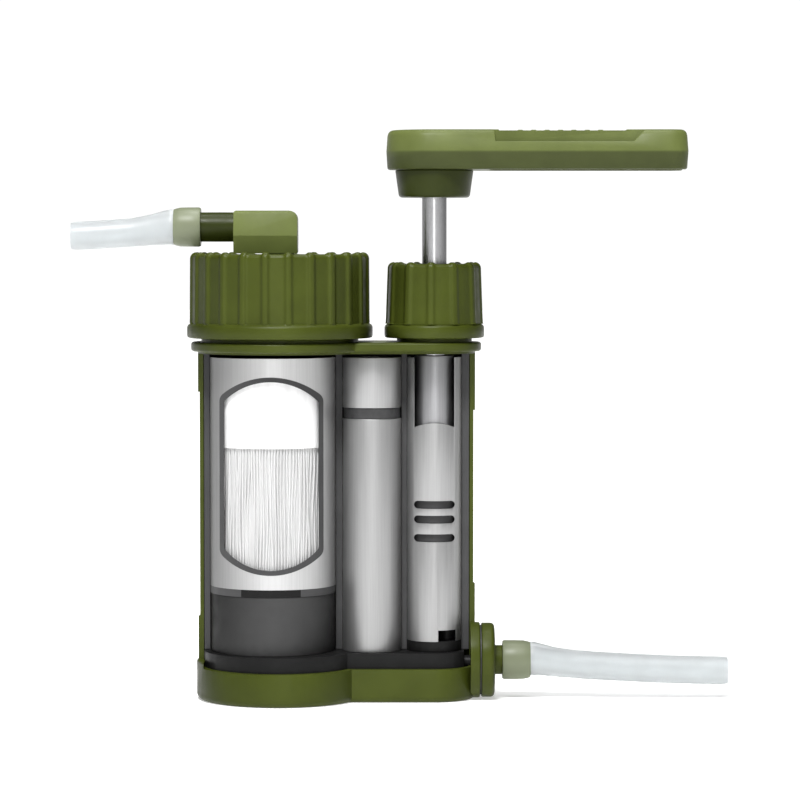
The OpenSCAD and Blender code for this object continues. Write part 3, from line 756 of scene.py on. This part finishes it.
def add_outlet():
    """The boss on the housing's end and the ring screwed on it, both round the nozzle's root."""
    centre = (0, 0, OUTLET_Z)
    root_r = 5.2
    low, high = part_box("outlet_boss")
    x0, x1, r = low[0] / MM, high[0] / MM, (high[1] - low[1]) / 2 / MM
    section = filleted([(root_r, x0, 0), (r, x0, 0), (r, x1, 0.5), (root_r, x1, 0)], 4)
    new_piece("outlet_boss_disc", turned(section, centre, "X"), OLIVE, "housing",
              ["outlet_boss"])

    low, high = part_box("outlet_ring")
    x0, x1, r = low[0] / MM, high[0] / MM, (high[1] - low[1]) / 2 / MM
    groove_in, groove_out, depth, bank = 6.3, 9.2, 0.35, 0.3  # shallow groove in its face
    section = filleted([(root_r, x0, 0), (r, x0, 0.45), (r, x1, 1.3), (groove_out, x1, 0.3),
                        (groove_out - bank, x1 - depth, 0.2),
                        (groove_in + bank, x1 - depth, 0.2), (groove_in, x1, 0.2),
                        (root_r, x1, 0)], 5)
    new_piece("outlet_screw_ring", turned(section, centre, "X"), OLIVE, "housing",
              ["outlet_ring"])


add_outlet()


# ---- fibres in the canister's window ----

def strand(x, y, low, high, radius, rng):
    """One fibre's points and faces, in metres: it stands upright and wanders slowly."""
    sides, rows = 6, 14
    phase, phase_2 = rng.uniform(0, TAU), rng.uniform(0, TAU)
    sway = rng.uniform(0.15, 0.6)
    points, faces = [], []
    for i in range(rows):
        t = i / (rows - 1)
        hold = math.sin(math.pi * t) ** 0.5
        cx = x + sway * hold * math.sin(phase + 4.1 * t)
        cy = y + 0.4 * sway * hold * math.sin(phase_2 + 4.2 * t)
        z = low + (high - low) * t
        for k in range(sides):
            a = TAU * k / sides
            points.append(((cx + radius * math.cos(a)) * MM, (cy + radius * math.sin(a)) * MM,
                           z * MM))
    faces = grid_faces(rows, sides, False)
    faces += [tuple(range(sides)), tuple(range((rows - 1) * sides, rows * sides))]
    return points, faces


def add_fibres():
    """Two layers of fibres round a core that closes the view between them."""
    low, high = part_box("fibre_bundle")
    base, top = low[2] / MM, high[2] / MM
    outer = (high[0] - low[0]) / 2 / MM
    axis = CANISTER_X / MM
    radius, skin, layer_step, count, fewer = 0.4, 0.75, 0.6, 118, 9
    rng = random.Random(7)
    points, faces = [], []
    for layer in range(2):
        ring_r = outer - skin - layer_step * layer
        around = count - fewer * layer
        for k in range(around):
            a = TAU * (k + 0.5 * layer + rng.uniform(-0.15, 0.15)) / around
            x, y = axis + ring_r * math.cos(a), ring_r * math.sin(a)
            p, f = strand(x, y, base, top, radius, rng)
            start = len(points)
            points += p
            faces += [tuple(v + start for v in face) for face in f]
    core_r, hole_r = outer - 0.85, 0.5
    core = turned([(hole_r, base), (core_r, base), (core_r, top), (hole_r, top)],
                  (CANISTER_X, 0, 0), "Z", 48)
    new_piece("fibre_strands", joined(mesh_of(points, faces, 60), core), FIBRE, "housing",
              ["fibre_bundle"])


add_fibres()


# ---- threads on the two necks ----

def add_thread(name, centre, root_r, depth, pitch, low, turns):
    """A rounded ridge that winds up a neck and fades out at both ends, in millimetres."""
    steps, sunk, half_w, crest_w = 72, 0.3, 0.8, 0.3
    rows = int(turns * steps) + 1
    points = []
    for i in range(rows):
        t = TAU * i / steps
        along = i / (rows - 1)
        fade = max(0.05, min(1.0, 8 * along, 8 * (1 - along)))
        z = low + pitch * i / steps
        out = root_r - 0.1 + (depth + 0.1) * fade
        for r, dz in ((root_r - sunk, -half_w), (out - 0.15, -crest_w), (out, 0),
                      (out - 0.15, crest_w), (root_r - sunk, half_w)):
            points.append((centre + r * MM * math.cos(t), r * MM * math.sin(t), (z + dz) * MM))
    last = (rows - 1) * 5
    faces = grid_faces(rows, 5, False) + [tuple(range(5)), tuple(range(last, last + 5))]
    new_piece(name, mesh_of(points, faces, 60), OLIVE, "housing")


add_thread("filter_neck_thread", FILTER_X, root_r=23.6, depth=0.5, pitch=3.0, low=113.5, turns=3)
add_thread("pump_neck_thread", PUMP_X, root_r=11.3, depth=0.33, pitch=2.5, low=110.5, turns=2.2)


# ---- CAD nodes that keep their shape ----

NODE_MATERIALS = {
    OLIVE: ["housing_shell", "base_cap", "outlet_nozzle"],
    DARK_GREY: ["inner_chassis", "divider_plate", "canister_top_cap", "canister_bottom_cap",
                "gland_bush", "window_bezel"],
    LINER: ["pump_liner"],
    BLACK: ["manifold", "valve_block", "outlet_pipe", "piston_head", "transfer_spigot"],
    CARBON_CUP: ["carbon_cup"],
    CARBON: ["carbon_block"],
    CANISTER: ["filter_canister"],
    TUBE: ["riser_tube", "upper_tube", "pump_sleeve"],
    ROD: ["piston_rod"],
    STEEL: ["plunger", "inlet_ball", "outlet_ball", "stem_clip", "handle_washer",
            "handle_screw", "base_screws"],
    SEAL: ["manifold_gasket", "riser_seal", "cap_liner", "stem_o_ring", "outlet_seal",
           "rod_wiper", "piston_seals"],
    RESIN: ["fibre_potting"],
}
for material, nodes in NODE_MATERIALS.items():
    for node in nodes:
        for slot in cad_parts[node].material_slots:
            slot.material = material


def soften(node, width):
    """Small rounded edges on a CAD node, by modifiers that leave its own mesh alone."""
    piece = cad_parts[node]
    weld = piece.modifiers.new("weld", "WELD")
    weld.merge_threshold = 1e-6
    flat = piece.modifiers.new("flat", "DECIMATE")
    flat.decimate_type = "DISSOLVE"
    flat.angle_limit = math.radians(0.5)
    bevel = piece.modifiers.new("bevel", "BEVEL")
    bevel.width = width * MM
    bevel.segments = 3
    bevel.limit_method = "ANGLE"
    bevel.angle_limit = math.radians(40)
    bevel.use_clamp_overlap = True
    bevel.harden_normals = True


EDGES = {"housing_shell": 0.3, "base_cap": 0.25, "manifold": 0.3, "inner_chassis": 0.25,
         "carbon_cup": 0.2, "valve_block": 0.25, "pump_sleeve": 0.12, "riser_tube": 0.2,
         "upper_tube": 0.2, "riser_seal": 0.2, "outlet_nozzle": 0.2, "gland_bush": 0.3,
         "plunger": 0.2, "piston_head": 0.2}
for node, width in EDGES.items():
    soften(node, width)


# ---- floor, light and background ----

def add_floor():
    """A white floor that glows more with distance, so that its far part is pure white."""
    size = 6.0
    mesh = bpy.data.meshes.new("floor")
    mesh.from_pydata([(-size, -size, 0), (size, -size, 0), (size, size, 0), (-size, size, 0)],
                     [], [(0, 1, 2, 3)])
    g = Graph("floor_white", (0.85, 0.85, 0.85), 0.9)
    g.shader.inputs["Specular IOR Level"].default_value = 0
    away = g.node("ShaderNodeVectorMath", operation="LENGTH")
    g.join(g.coords, away.inputs[0])
    glow = g.remap(away.outputs["Value"], 0.42, 1.06, 0.2, 1.1)
    g.shader.inputs["Emission Color"].default_value = (1, 1, 1, 1)
    g.join(glow, g.shader.inputs["Emission Strength"])
    mesh.materials.append(g.material)
    floor = bpy.data.objects.new("floor", mesh)
    scene.collection.objects.link(floor)


def add_light(name, place, target, size, power):
    data = bpy.data.lights.new(name, "AREA")
    data.shape = "RECTANGLE"
    data.size, data.size_y = size
    data.energy = power
    light = bpy.data.objects.new(name, data)
    light.location = place
    light.rotation_euler = aimed(place, target)
    scene.collection.objects.link(light)


def add_world(white, dim, zenith, sides):
    """White round the horizon and below it, dimmer above, and brighter again overhead. All of
    it is dimmer to the sides and in front than behind the filter."""
    world = bpy.data.worlds.new("studio")
    world.use_nodes = True
    tree = world.node_tree
    split = tree.nodes.new("ShaderNodeSeparateXYZ")
    tree.links.new(tree.nodes.new("ShaderNodeTexCoord").outputs["Generated"], split.inputs[0])
    ramp = tree.nodes.new("ShaderNodeValToRGB")
    stops = [(0.0, white), (0.16, white), (0.3, dim), (0.7, dim), (1.0, zenith)]
    for i, (at, value) in enumerate(stops):
        stop = ramp.color_ramp.elements[i] if i < 2 else ramp.color_ramp.elements.new(at)
        stop.position = at
        stop.color = (value, value, value, 1)
    tree.links.new(split.outputs["Z"], ramp.inputs["Fac"])
    away = tree.nodes.new("ShaderNodeMapRange")
    for key, value in (("From Min", 0.7), ("From Max", 0.97), ("To Min", sides), ("To Max", 1.0)):
        away.inputs[key].default_value = value
    tree.links.new(split.outputs["Y"], away.inputs["Value"])
    background = tree.nodes["Background"]
    tree.links.new(away.outputs["Result"], background.inputs["Strength"])
    tree.links.new(ramp.outputs["Color"], background.inputs["Color"])
    scene.world = world


add_floor()
add_light("key", (-0.12, -0.75, 1.15), (0.03, 0, 0.1), (0.35, 0.3), 21)
add_light("front", (0.0, -1.5, 0.12), (0.03, 0, 0.09), (0.3, 0.8), 2.2)
add_light("top", (0.1, 0.05, 1.0), (0.03, 0, 0.1), (0.5, 0.3), 5)
add_world(white=1.05, dim=0.14, zenith=0.9, sides=0.45)
scene.view_settings.view_transform = "Standard"
